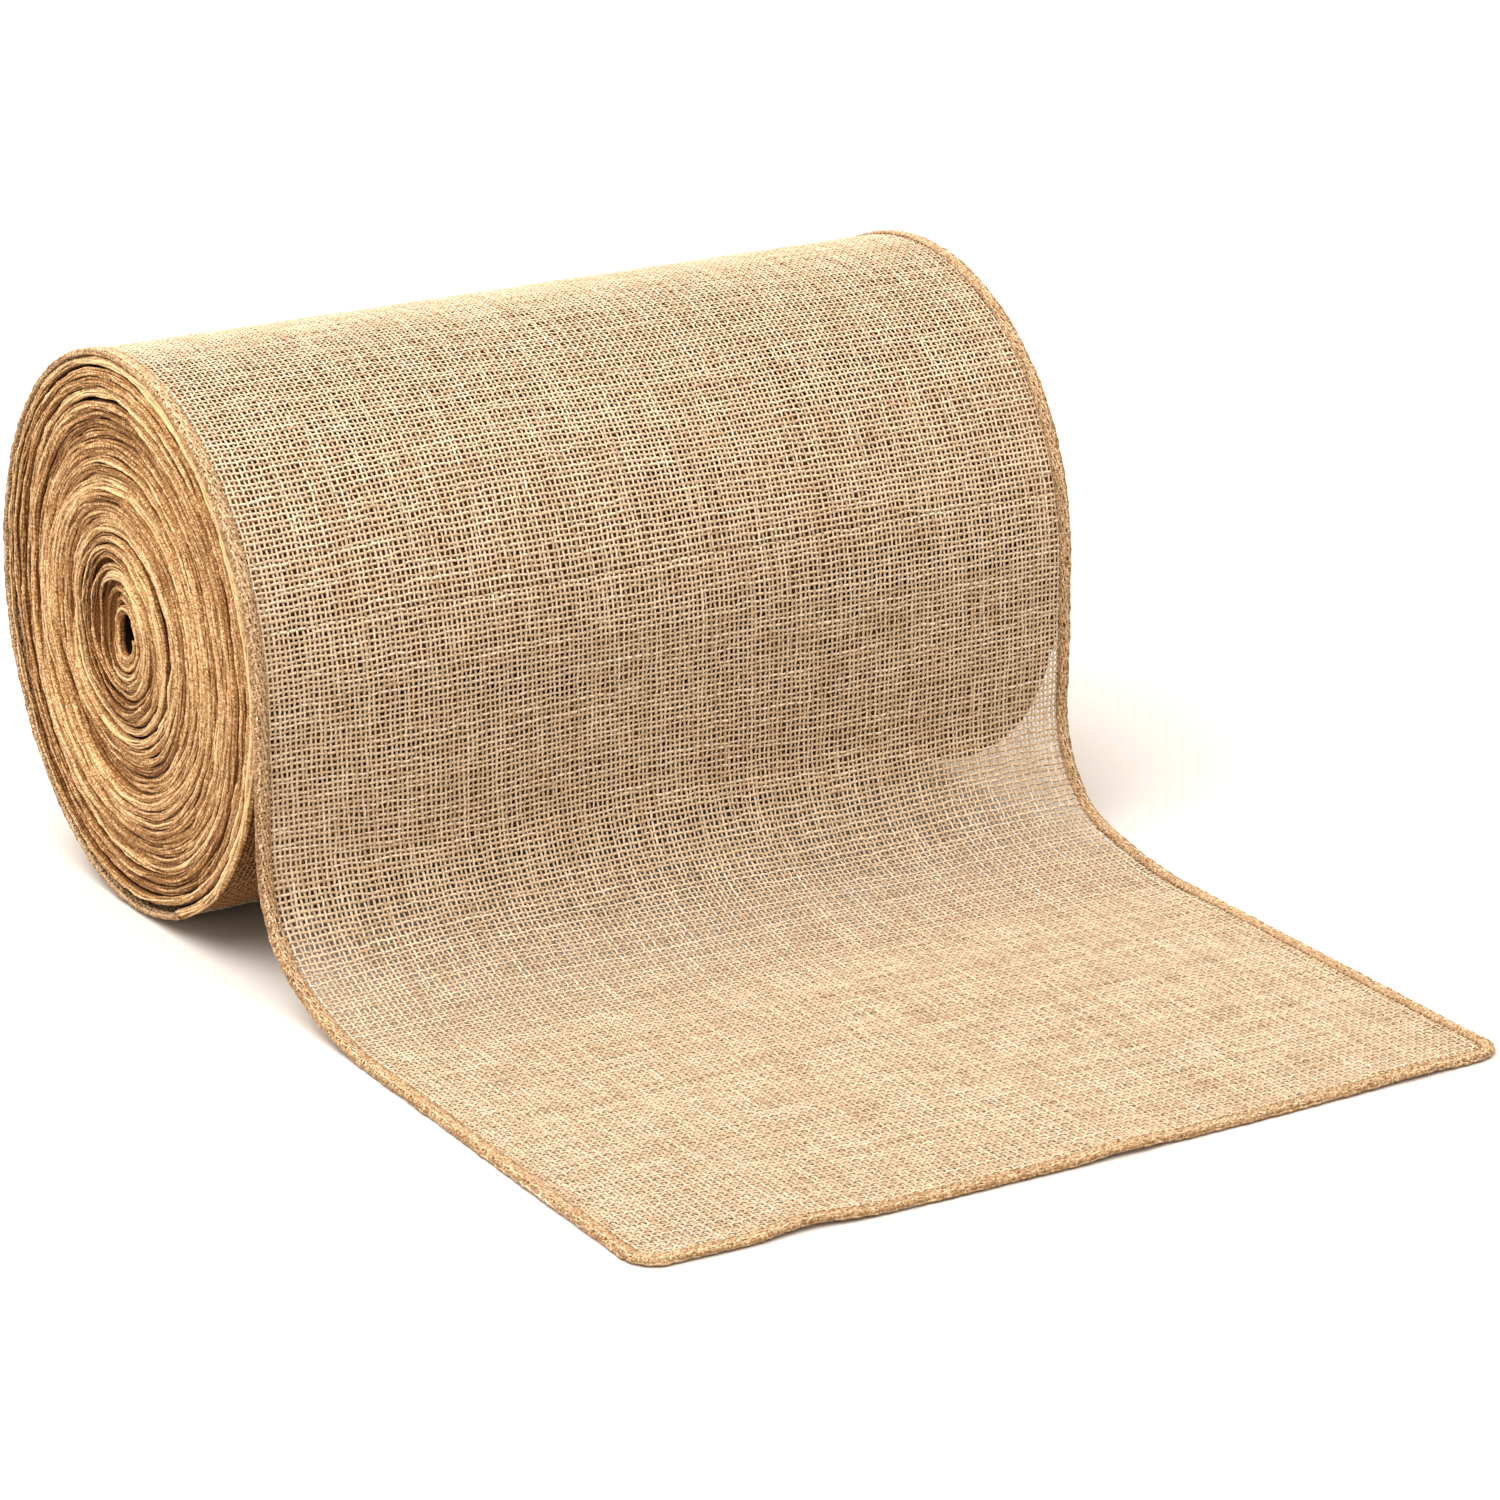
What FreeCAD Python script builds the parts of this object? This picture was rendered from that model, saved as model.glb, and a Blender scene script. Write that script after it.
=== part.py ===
"""A coreless roll of jute burlap ribbon with its free end laid out in front of it.

Millimetres, +Z up. X runs along the roll's axis, the free end lies towards -Y, and
the origin is on the floor at the middle of the whole piece. One ribbon makes all of
it: wound turns, one outer turn, a curtain that drops to the floor and a flat apron.
Its long edges and its front end are bound with a thicker overlock seam.
"""
import FreeCAD, Part
import math
import os

# Driving dimensions
ribbon_width = 305.0        # over both overlocked edges, a 12 inch ribbon
roll_radius = 93.6          # outside of the outer turn's overlock
front_reach = 330.0         # from the roll's axis to the front end
cloth_thickness = 0.9
overlock_thickness = 2.7    # two layers of looped thread with the cloth between them
overlock_width = 6.5
overlock_wrap = 0.8         # thread that stands out past the cut edge of the cloth
hole_radius = 4.5           # the open eye that the innermost turns leave
inner_turn_wall = 2.7       # the first turns, pressed together
turn_pitch = 3.05           # from one wound turn to the next
spin_clearance = 0.4        # between the wound turns and the outer turn
drop_bend_radius = 39.0     # where the curtain turns away from the roll
foot_bend_radius = 116.0    # the long bend that lands on the floor
foot_slope = 25.0           # degrees below level where the two bends meet
wound_end_angle = 250.0     # low at the front, behind the curtain
corner_radius = 10.0        # front corners of the ribbon

# Derived places
half_width = ribbon_width / 2
axis_y = (front_reach - roll_radius) / 2
axis_z = roll_radius
outer_path_radius = roll_radius - overlock_thickness / 2
first_path_radius = hole_radius + inner_turn_wall + overlock_thickness / 2
floor_path_z = overlock_thickness / 2
slope = math.radians(foot_slope)
end_angle = math.radians(wound_end_angle)

# Whole wound turns that fit inside the outer turn. The last one ends part of the way
# round, where the half turns' shifted centres have added this share of a pitch.
last_turn_share = 0.5 * (1 + math.cos(end_angle))
free_radius = roll_radius - overlock_thickness - spin_clearance - overlock_thickness / 2
whole_turns = math.floor((free_radius - first_path_radius) / turn_pitch - last_turn_share)


def point(y, z):
    """A point of the side profile, in the plane X = 0."""
    return FreeCAD.Vector(0, y, z)


def round_step(centre_y, centre_z, radius, start, end, centre_side):
    """An arc of the ribbon's path, angles in degrees from +Y towards +Z.

    centre_side is 1 where the visible face is the outside of the bend, -1 where it is
    the inside.
    """
    def edge(offset):
        moved = radius + centre_side * offset
        corners = []
        for angle in (start, (start + end) / 2, end):
            turn = math.radians(angle)
            corners.append(point(centre_y + moved * math.cos(turn),
                                 centre_z + moved * math.sin(turn)))
        return corners
    return edge


def straight_step(start_y, start_z, end_y, end_z):
    """A straight run of the ribbon's path, whose visible face is on its right."""
    length = math.hypot(end_y - start_y, end_z - start_z)
    right_y = (end_z - start_z) / length
    right_z = (start_y - end_y) / length

    def edge(offset):
        return [point(start_y + offset * right_y, start_z + offset * right_z),
                point(end_y + offset * right_y, end_z + offset * right_z)]
    return edge


def curve_through(corners):
    """The arc through three points, or the line between two."""
    if len(corners) == 3:
        return Part.Arc(*corners).toShape()
    return Part.LineSegment(*corners).toShape()


def strip(path, low, high, left, right):
    """The ribbon's path as a solid, from one offset to the other, between two X."""
    upper = [step(high) for step in path]
    lower = [step(low) for step in path]
    edges = [curve_through(corners) for corners in upper]
    edges.append(curve_through([upper[-1][-1], lower[-1][-1]]))
    edges += [curve_through(corners) for corners in reversed(lower)]
    edges.append(curve_through([lower[0][0], upper[0][0]]))
    face = Part.Face(Part.Wire(edges))
    face.translate(FreeCAD.Vector(left, 0, 0))
    return face.extrude(FreeCAD.Vector(right - left, 0, 0))


def cloth_strip(path):
    """Woven cloth along a path, cut short of the overlock's outside by the wrap."""
    edge = half_width - overlock_wrap
    return strip(path, -cloth_thickness / 2, cloth_thickness / 2, -edge, edge)


def overlock_strip(path, side, cloth):
    """The thread seam along one edge, with a slot that holds the edge of the cloth."""
    inner = side * (half_width - overlock_width)
    outer = side * half_width
    half_thickness = overlock_thickness / 2
    seam = strip(path, -half_thickness, half_thickness,
                 min(inner, outer), max(inner, outer))
    return seam.cut(cloth)


def plate(front_y, inset, radius, low_z, high_z):
    """A flat plate on the floor with two rounded front corners."""
    side = half_width - inset
    front = front_y + inset
    bulge = radius * (1 - math.sqrt(0.5))
    corners = [
        [(side, apron_back_y), (side, front + radius)],
        [(side, front + radius), (side - bulge, front + bulge), (side - radius, front)],
        [(side - radius, front), (radius - side, front)],
        [(radius - side, front), (bulge - side, front + bulge), (-side, front + radius)],
        [(-side, front + radius), (-side, apron_back_y)],
        [(-side, apron_back_y), (side, apron_back_y)],
    ]
    edges = []
    for step in corners:
        edges.append(curve_through([FreeCAD.Vector(x, y, low_z) for x, y in step]))
    return Part.Face(Part.Wire(edges)).extrude(FreeCAD.Vector(0, 0, high_z - low_z))


# The path of the wound turns: half turns about two centres half a pitch apart
wound_path = []
for turn in range(whole_turns + 1):
    upper_radius = first_path_radius + turn * turn_pitch
    lower_radius = upper_radius + turn_pitch / 2
    lower_end = 360 if turn < whole_turns else wound_end_angle
    wound_path.append(round_step(axis_y, axis_z, upper_radius, 0, 180, 1))
    wound_path.append(round_step(axis_y + turn_pitch / 2, axis_z, lower_radius,
                                 180, lower_end, 1))

# The outer turn: from behind the curtain under the roll, up the back and over the top
outer_path = [
    round_step(axis_y, axis_z, outer_path_radius, wound_end_angle, 360, 1),
    round_step(axis_y, axis_z, outer_path_radius, 360, 540, 1),
]

# The curtain: straight down from the front of the roll, then two bends to the floor
foot_centre_y = (axis_y - outer_path_radius - drop_bend_radius * (1 - math.sin(slope))
                 - foot_bend_radius * math.sin(slope))
foot_centre_z = floor_path_z + foot_bend_radius
drop_centre_y = axis_y - outer_path_radius - drop_bend_radius
drop_centre_z = (floor_path_z + foot_bend_radius * (1 - math.cos(slope))
                 + drop_bend_radius * math.cos(slope))
curtain_path = [
    straight_step(axis_y - outer_path_radius, axis_z,
                  axis_y - outer_path_radius, drop_centre_z),
    round_step(drop_centre_y, drop_centre_z, drop_bend_radius,
               0, foot_slope - 90, -1),
    round_step(foot_centre_y, foot_centre_z, foot_bend_radius,
               foot_slope - 90, -90, -1),
]

nodes = {}

# Wound turns
nodes["inner_turn"] = Part.makeCylinder(
    hole_radius + inner_turn_wall, ribbon_width,
    FreeCAD.Vector(-half_width, axis_y, axis_z), FreeCAD.Vector(1, 0, 0)).cut(
    Part.makeCylinder(hole_radius, ribbon_width,
                      FreeCAD.Vector(-half_width, axis_y, axis_z),
                      FreeCAD.Vector(1, 0, 0)))

# Cloth and its two edge seams, for each stretch that follows a bent path
for name, path in (("wound", wound_path), ("outer_turn", outer_path),
                   ("curtain", curtain_path)):
    cloth = cloth_strip(path)
    nodes[name + "_cloth"] = cloth
    nodes[name + "_overlock_left"] = overlock_strip(path, -1, cloth)
    nodes[name + "_overlock_right"] = overlock_strip(path, 1, cloth)

# The apron: flat cloth with the same seam round three of its sides
apron_back_y = foot_centre_y
apron_front_y = axis_y - front_reach
seam_end_y = apron_front_y + corner_radius
apron_cloth = plate(apron_front_y, overlock_wrap, corner_radius - overlock_wrap,
                    floor_path_z - cloth_thickness / 2,
                    floor_path_z + cloth_thickness / 2)
apron_outline = plate(apron_front_y, 0, corner_radius, 0, overlock_thickness)
apron_inside = plate(apron_front_y, overlock_width, corner_radius - overlock_width,
                     0, overlock_thickness)
apron_seam = apron_outline.cut(apron_inside).cut(apron_cloth)
seam_length = apron_back_y - seam_end_y
left_box = Part.makeBox(half_width, seam_length, overlock_thickness,
                        FreeCAD.Vector(-half_width, seam_end_y, 0))
right_box = Part.makeBox(half_width, seam_length, overlock_thickness,
                         FreeCAD.Vector(0, seam_end_y, 0))
nodes["apron_cloth"] = apron_cloth
nodes["apron_overlock_left"] = apron_seam.common(left_box)
nodes["apron_overlock_right"] = apron_seam.common(right_box)
nodes["front_overlock"] = apron_seam.cut(left_box).cut(right_box)

os.makedirs("parts", exist_ok=True)
for name, shape in nodes.items():
    shape.exportStep("parts/" + name + ".step")

# The ribbon's length, each stretch's cloth volume over its section
cloth_section = cloth_thickness * (ribbon_width - 2 * overlock_wrap)
length = sum(nodes[name + "_cloth"].Volume / cloth_section
             for name in ("wound", "outer_turn", "curtain", "apron"))
print("nodes", len(nodes), "wound turns %.2f" % (whole_turns + wound_end_angle / 360))
print("ribbon length %.0f mm" % length)
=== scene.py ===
# %% [markdown]
# # A coreless roll of burlap ribbon
# One long jute ribbon is wound on itself without a core. Its outer turn leaves the roll
# at the front, hangs down as a curtain and lies on the floor as an apron. Its long edges
# and its front end are bound with an overlock seam of golden thread.
#
# The jute could be a smooth sheet with a painted weave, but that would lose the holes, and
# the holes are what makes burlap look like burlap. So it is woven here, thread by thread.

# %% Load the frame
import math

import bpy
import numpy as np
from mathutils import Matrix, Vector


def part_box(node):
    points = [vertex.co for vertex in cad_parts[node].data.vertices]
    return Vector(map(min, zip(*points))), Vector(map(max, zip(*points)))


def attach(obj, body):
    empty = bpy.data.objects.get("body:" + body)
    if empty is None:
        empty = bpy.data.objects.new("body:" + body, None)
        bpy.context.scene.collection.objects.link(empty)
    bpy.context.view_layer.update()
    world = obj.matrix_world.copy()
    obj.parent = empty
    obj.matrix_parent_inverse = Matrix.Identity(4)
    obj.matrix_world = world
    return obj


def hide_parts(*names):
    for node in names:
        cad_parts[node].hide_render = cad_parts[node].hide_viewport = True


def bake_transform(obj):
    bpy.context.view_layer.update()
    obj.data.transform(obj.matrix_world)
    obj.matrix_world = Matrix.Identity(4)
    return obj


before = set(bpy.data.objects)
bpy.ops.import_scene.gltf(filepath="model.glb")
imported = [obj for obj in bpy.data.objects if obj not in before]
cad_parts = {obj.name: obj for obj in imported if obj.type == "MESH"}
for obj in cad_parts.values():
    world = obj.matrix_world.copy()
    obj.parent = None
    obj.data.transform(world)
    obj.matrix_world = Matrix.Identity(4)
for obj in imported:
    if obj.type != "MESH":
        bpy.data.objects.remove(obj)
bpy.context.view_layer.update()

MM = 0.001

# %% [markdown]
# ## The roll's own sizes
# The frame says where the eye of the roll is and how far its pieces reach. The bends of
# the falling ribbon are the ones that the design was drawn with.

# %% Sizes
eye_low, eye_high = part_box("inner_turn")
turn_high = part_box("outer_turn_overlock_left")[1]
wound_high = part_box("wound_cloth")[1]
hem_low, hem_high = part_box("front_overlock")

AXIS_Y = (eye_low.y + eye_high.y) / 2
AXIS_Z = (eye_low.z + eye_high.z) / 2
HALF_WIDTH = eye_high.x
SEAM_THICKNESS = hem_high.z - hem_low.z
PATH_RADIUS = turn_high.z - AXIS_Z - SEAM_THICKNESS / 2
INNER_RADIUS = 7.2 * MM              # outside of the innermost turn
HALF_CLOTH = 0.45 * MM
TURN_START = math.radians(250)       # where the outer turn begins, low at the front
DROP_RADIUS = 39 * MM                # first bend of the falling ribbon
FOOT_RADIUS = 116 * MM               # the long bend that lands on the floor
FOOT_SLOPE = math.radians(25)        # where the two bends meet
CORNER_RADIUS = 10 * MM
WOUND_PITCH = 3.05 * MM              # from one wound turn to the next
print("roll radius %.1f mm, half width %.1f mm" % (PATH_RADIUS / MM, HALF_WIDTH / MM))

# %% [markdown]
# ## A line that things are laid on
# The ribbon is easiest to weave and to sew flat. A line is then a list of runs, each with
# a length and a bend, and it says where a flat point ends up. A bend is one over its
# radius, positive to the left, and nought on a straight run.

# %% Lines
LINE_STEP = 0.25 * MM


def line_through(start, heading, runs):
    """A table of places and headings along runs of (length, bend)."""
    bends = [np.full(max(int(round(length / LINE_STEP)), 1), bend) for length, bend in runs]
    steps = np.concatenate([np.full(len(b), length / len(b))
                            for b, (length, _) in zip(bends, runs)])
    turned = heading + np.concatenate([[0], np.cumsum(steps * np.concatenate(bends))])
    middle = (turned[1:] + turned[:-1]) / 2
    return {
        "along": np.concatenate([[0], np.cumsum(steps)]),
        "first": start[0] + np.concatenate([[0], np.cumsum(steps * np.cos(middle))]),
        "second": start[1] + np.concatenate([[0], np.cumsum(steps * np.sin(middle))]),
        "heading": turned,
    }


def beside(line, along, offset):
    """Places at a length along a line, moved to its right by offset."""
    heading = np.interp(along, line["along"], line["heading"])
    ends = line["along"][-1]
    past = np.where(along < 0, along, np.maximum(along - ends, 0))
    first = np.interp(along, line["along"], line["first"])
    second = np.interp(along, line["along"], line["second"])
    return (first + past * np.cos(heading) + offset * np.sin(heading),
            second + past * np.sin(heading) - offset * np.cos(heading))


DROP_Z = (SEAM_THICKNESS / 2 + FOOT_RADIUS * (1 - math.cos(FOOT_SLOPE))
          + DROP_RADIUS * math.cos(FOOT_SLOPE))
TURN_LENGTH = PATH_RADIUS * (3 * math.pi - TURN_START)
FOOT_END_Y = (AXIS_Y - PATH_RADIUS - DROP_RADIUS * (1 - math.sin(FOOT_SLOPE))
              - FOOT_RADIUS * math.sin(FOOT_SLOPE))
free_runs = [
    (TURN_LENGTH, 1 / PATH_RADIUS),
    (AXIS_Z - DROP_Z, 0),
    (DROP_RADIUS * (math.pi / 2 - FOOT_SLOPE), -1 / DROP_RADIUS),
    (FOOT_RADIUS * FOOT_SLOPE, -1 / FOOT_RADIUS),
    (FOOT_END_Y - hem_low.y, 0),
]
FREE_LENGTH = sum(length for length, _ in free_runs)
free_line = line_through(
    (AXIS_Y + PATH_RADIUS * math.cos(TURN_START), AXIS_Z + PATH_RADIUS * math.sin(TURN_START)),
    TURN_START + math.pi / 2, free_runs)
print("free ribbon %.0f mm, ends at y %.1f mm" % (FREE_LENGTH / MM, free_line["first"][-1] / MM))

# %% [markdown]
# ## How cloth differs from a drawn line
# A hand-laid ribbon swells and sinks by a millimetre or two, and its front end is bowed. A
# cloth simulation would lose the single threads, so one function says by how much at each
# place, and the weave and the seams both follow it.


# %% Drape
def ramp(value, start, end):
    """Smoothly from 0 at start to 1 at end."""
    t = np.clip((value - start) / (end - start), 0, 1)
    return t * t * (3 - 2 * t)


START_SINK = 1.3 * MM                # the outer turn comes out of the turn below it
START_REACH = 55 * MM
CURTAIN_TOP = TURN_LENGTH - 25 * MM
CURTAIN_LOOSE = TURN_LENGTH + 30 * MM
FLOOR_START = FREE_LENGTH - (FOOT_END_Y - hem_low.y)
FLOOR_APPROACH = 60 * MM
FLOOR_SINK = 0.45 * MM               # between its thick seams the cloth sinks to the table
FOOT_MIDDLE = TURN_LENGTH + AXIS_Z - DROP_Z + 40 * MM
FOOT_REACH = 32 * MM
FOOT_PULL = 3.9 * MM                 # the right side of the foot is pulled in a little
APRON_SKEW = 2.6 * MM                # the apron lies a little to the left
HEM_REACH = 70 * MM                  # how far back the bow of the front end is felt
HEM_LIFT = 0.6 * MM
NOTCH_PLACE = -97 * MM               # a shallow dent in the front end
NOTCH_WIDTH = 13 * MM
NOTCH_DEPTH = 2.2 * MM


def lay_free(points):
    """Flat points (across, along, up) of the free ribbon, in their place on the object."""
    across, along, up = points.T
    hangs = ramp(along, CURTAIN_TOP, CURTAIN_LOOSE)
    lies = ramp(along, FLOOR_START - FLOOR_APPROACH, FLOOR_START)
    wave = np.sin(across / (17 * MM) + 0.7)
    slanting_wave = np.sin(across / (31 * MM) - along / (60 * MM))
    swell = (0.45 * wave + 0.8 * slanting_wave) * MM
    up = up - START_SINK * (1 - ramp(along, 0, START_REACH)) + hangs * (1 - lies) * swell
    to_edge = np.minimum(HALF_WIDTH - np.abs(across), FREE_LENGTH - along)
    up = up - FLOOR_SINK * lies * ramp(to_edge, 5 * MM, 12 * MM)
    foot = np.exp(-((along - FOOT_MIDDLE) / FOOT_REACH) ** 2) * (1 - lies)
    up = up - FOOT_PULL * foot * ramp(across, -0.2 * HALF_WIDTH, HALF_WIDTH)
    near_hem = ramp(along, FREE_LENGTH - HEM_REACH, FREE_LENGTH)
    ripples = np.sin(across / (15.5 * MM) + 1.1) + 0.5 * np.sin(across / (9 * MM))
    up = up + near_hem * np.maximum(ripples, 0) * HEM_LIFT
    wide = across / HALF_WIDTH
    bow = (2.6 + 1.2 * wide - 3.0 * wide ** 2) * MM
    notch = NOTCH_DEPTH * np.exp(-((across - NOTCH_PLACE) / NOTCH_WIDTH) ** 2)
    along = along + near_hem * (bow - notch)
    across = across - APRON_SKEW * ramp(along, FLOOR_START - 20 * MM, FREE_LENGTH)
    first, second = beside(free_line, along, up)
    return np.column_stack([across, first, second])


front_middle = lay_free(np.array([[0.0, FREE_LENGTH, 0.0]]))[0]
print("middle of the front end, in mm", [round(v / MM, 1) for v in front_middle])


# %% [markdown]
# ## The wound turns' line
# Each turn adds one pitch to the radius, so the length and the radius follow from the
# angle. The line runs from the eye outwards and stops low at the front, inside the outer
# turn. A real roll is not that regular, so the radius is then changed a little here and
# there, which a true spiral curve would not allow.

# %% Spiral
FIRST_RADIUS = 6.2 * MM
LAST_RADIUS = (wound_high.z - AXIS_Z - HALF_CLOTH
               + WOUND_PITCH * (TURN_START - math.pi / 2) / math.tau)
TURNS = (LAST_RADIUS - FIRST_RADIUS) / WOUND_PITCH
STEPS_IN_A_TURN = 180
angles = TURN_START + np.linspace(-TURNS * math.tau, 0, int(TURNS * STEPS_IN_A_TURN))
angles += math.ceil(TURNS) * math.tau
radii = LAST_RADIUS - WOUND_PITCH * (angles[-1] - angles) / math.tau
print("spiral from %.1f to %.1f mm, %d places" % (radii[0] / MM, radii[-1] / MM, len(radii)))

# %% The outermost wound turns
# The outer turn is round, so the outermost wound turns are round too, each with a step
# in where the next one begins over it.
ROUND_TURNS = 8
turns_in = (angles[-1] - angles) / math.tau
share = turns_in % 1
wedge = WOUND_PITCH * share * (1 - ramp(share, 0.8, 1))
radii = radii + wedge * np.maximum(1 - np.floor(turns_in) / ROUND_TURNS, 0)
TIP_RISE = 1.0 * MM                  # the last wound stretch lies against the outer turn
radii = radii + TIP_RISE * (1 - ramp(turns_in, 0.03, 0.16))
print("the outermost turn steps in by up to %.1f mm" % (wedge.max() / MM))

# %% The slumped core
# The core has slumped to the front: its turns lie open behind the eye, and the turns
# round it have come away at the front.
CORE_TURNS = 8
CORE_SLUMP = 3.6 * MM
CORE_OPENING = 6.6 * MM
facing = 0.5 - 0.5 * np.cos(angles)        # 1 at the front, 0 at the back
core_turn = np.floor(angles / math.tau) - math.floor(angles[0] / math.tau)
core_share = np.where(core_turn <= CORE_TURNS, core_turn / CORE_TURNS, 0)
slump = CORE_SLUMP * facing ** 2 * core_share
radii = radii - slump
open_band = ramp(radii, 6 * MM, 22 * MM) * (1 - ramp(radii, 26 * MM, 64 * MM))
radii = radii + CORE_OPENING * (1 - facing) ** 2 * open_band
print("the core's front slumps by up to %.1f mm" % (slump.max() / MM))

# %% Loose turns
# Low at the back, two outer turns hang loose.
LOOSE_SIDE = math.radians(-25)
TIGHT_SIDE = 0.43                    # the side across from it, in turns; counting starts here
LOOSE_TURNS = [(2, 2.0 * MM), (4, 1.7 * MM)]     # which turn from outside, and how loose
loose = (0.5 + 0.5 * np.cos(angles - LOOSE_SIDE)) ** 2
outer_turn = (math.floor(angles[-1] / math.tau - TIGHT_SIDE)
              - np.floor(angles / math.tau - TIGHT_SIDE))
for number, slack in LOOSE_TURNS:
    radii = radii - slack * loose * (outer_turn >= number) * ramp(radii, 45 * MM, 76 * MM)
print("loose turns, counted from outside:", [number for number, _ in LOOSE_TURNS])

# %% The spiral's table
EYE_SQUEEZE = 0.9 * MM               # the eye is taller than wide
near_eye = np.exp((FIRST_RADIUS - radii) / (10 * MM))
squeezed = radii - EYE_SQUEEZE * near_eye * np.cos(2 * angles)
wound_y = AXIS_Y + squeezed * np.cos(angles)
wound_z = AXIS_Z + squeezed * np.sin(angles)
wound_steps = np.hypot(np.diff(wound_y), np.diff(wound_z))
wound_line = {
    "along": np.concatenate([[0], np.cumsum(wound_steps)]),
    "first": wound_y, "second": wound_z, "heading": angles + math.pi / 2,
}
WOUND_LENGTH = wound_line["along"][-1]
print("wound turns %.1f out to %.1f mm, %.2f m of ribbon"
      % (TURNS, LAST_RADIUS / MM, WOUND_LENGTH))

# %% [markdown]
# ## Uneven on purpose
# Jute yarn is spun unevenly. A field is a grid of smooth random numbers, one for each
# crossing of the weave, and it is used for where a thread lies and how thick it is. It is
# seeded, so every run weaves the same cloth.


# %% Random fields
def smooth_rows(values, reach):
    """values, averaged along their first axis over about reach steps."""
    for _ in range(2):
        if reach > 1:
            kernel = np.ones(reach) / reach
            padded = np.pad(values, ((reach, reach), (0, 0)), mode="reflect")
            values = np.apply_along_axis(np.convolve, 0, padded, kernel, "same")[reach:-reach]
    return values


def field(seed, shape, reach_first, reach_second):
    """Smooth random numbers of mean 0 and deviation 1."""
    values = np.random.default_rng(seed).normal(size=shape)
    values = smooth_rows(smooth_rows(values, reach_first).T, reach_second).T
    return (values - values.mean()) / values.std()


# %% [markdown]
# ## Tools of the workshop
# The same few steps come back for every thread: leave edit mode with nothing selected,
# repeat a pattern with an Array modifier, join pieces, and write a map that says where on
# the thread a point is.


# %% Selecting
def fresh():
    """Leaves nothing selected, so that the next operator acts on its own object alone."""
    if bpy.context.mode != "OBJECT":
        bpy.ops.object.mode_set(mode="OBJECT")
    bpy.ops.object.select_all(action="DESELECT")


def activate(piece):
    fresh()
    piece.select_set(True)
    bpy.context.view_layer.objects.active = piece


def edit_all(piece):
    """Goes into edit mode with all of a piece selected."""
    activate(piece)
    bpy.ops.object.mode_set(mode="EDIT")
    bpy.ops.mesh.select_all(action="SELECT")


# %% Repeating and joining
def repeat(piece, count, step, merge):
    """Copies a piece count times, each one step on."""
    activate(piece)
    bpy.ops.object.modifier_add(type="ARRAY")
    array = piece.modifiers[-1]
    array.count = count
    array.use_relative_offset = False
    array.use_constant_offset = True
    array.constant_offset_displace = step
    array.use_merge_vertices = merge
    array.merge_threshold = 0.01 * MM
    bpy.ops.object.modifier_apply(modifier=array.name)


def join(pieces, name):
    """Joins pieces into the first one."""
    fresh()
    for piece in pieces:
        piece.select_set(True)
    bpy.context.view_layer.objects.active = pieces[0]
    bpy.ops.object.join()
    pieces[0].name = pieces[0].data.name = name
    return pieces[0]


# %% Points
def corners(piece):
    """All the piece's points as rows of three numbers."""
    flat = np.empty(len(piece.data.vertices) * 3, np.float32)
    piece.data.vertices.foreach_get("co", flat)
    return flat.reshape(-1, 3).astype(float)


def set_corners(piece, points):
    piece.data.vertices.foreach_set("co", points.astype(np.float32).ravel())
    piece.data.update()


def shade_smooth(piece):
    activate(piece)
    bpy.ops.object.shade_smooth()


# %% Maps
def write_map(piece, name, first, second):
    """A UV map from one pair of numbers at each face corner."""
    layer = piece.data.uv_layers.get(name) or piece.data.uv_layers.new(name=name)
    layer.data.foreach_set("uv", np.column_stack([first, second]).astype(np.float32).ravel())


def at_face_corners(piece, values):
    """values at the points, read at each face corner, and their mean over each face."""
    count = len(piece.data.loops)
    point = np.empty(count, np.int32)
    piece.data.loops.foreach_get("vertex_index", point)
    sizes = np.empty(len(piece.data.polygons), np.int32)
    piece.data.polygons.foreach_get("loop_total", sizes)
    face = np.repeat(np.arange(len(sizes)), sizes)
    here = values[point]
    mean = (np.bincount(face, here) / sizes)[face]
    return here, mean


def strip_maps(piece, along, across, width, rows, length, number=0):
    """Two maps of a long narrow piece: its own lengths, and the same cut into rows."""
    along_here, along_mean = at_face_corners(piece, along)
    across_here, across_mean = at_face_corners(piece, across)
    # the face that closes the way round a thread ends at its full width, not at nought
    across_here = np.where(across_mean - across_here > 0.3 * width, width, across_here)
    number_here, _ = at_face_corners(piece, number + 0 * across)
    write_map(piece, "yarn", along_here / (10 * MM), across_here / (10 * MM) + number_here)
    row = np.clip(np.floor(along_mean / length * rows), 0, rows - 1)
    share = along_here / length * rows - row
    write_map(piece, "OFBake", 0.01 + 0.98 * share,
              (row + 0.04 + 0.92 * np.clip(across_here / width, 0, 1)) / rows)


# %% [markdown]
# ## One thread, over and under
# A thread starts as a four-sided ring, flattened, and is extruded from crossing to
# crossing, up over one thread and down under the next. Two crossings are enough: an Array
# repeats them along the thread, and another one lays threads side by side, every second
# one the other way up. Four sides with smooth shading read as round at this size, and
# keep a stretch of cloth under 200,000 triangles.

# %% Thread
WARPS = 178                          # threads that run along the ribbon
WARP_PITCH = 1.70 * MM
ROWS = 58                            # crossing threads in one woven stretch
STRETCHES = ["outer_turn_weave_1", "outer_turn_weave_2", "outer_turn_weave_3",
             "outer_turn_weave_4", "curtain_weave", "foot_weave", "apron_weave"]
ALL_ROWS = ROWS * len(STRETCHES)
WEFT_PITCH = (FREE_LENGTH - 1.0 * MM) / ALL_ROWS
CRIMP = 0.27 * MM                    # how far a thread rises over its neighbour
WARP_SIZE = (0.90 * MM, 0.58 * MM)   # width and thickness
WEFT_SIZE = (0.97 * MM, 0.54 * MM)


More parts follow.
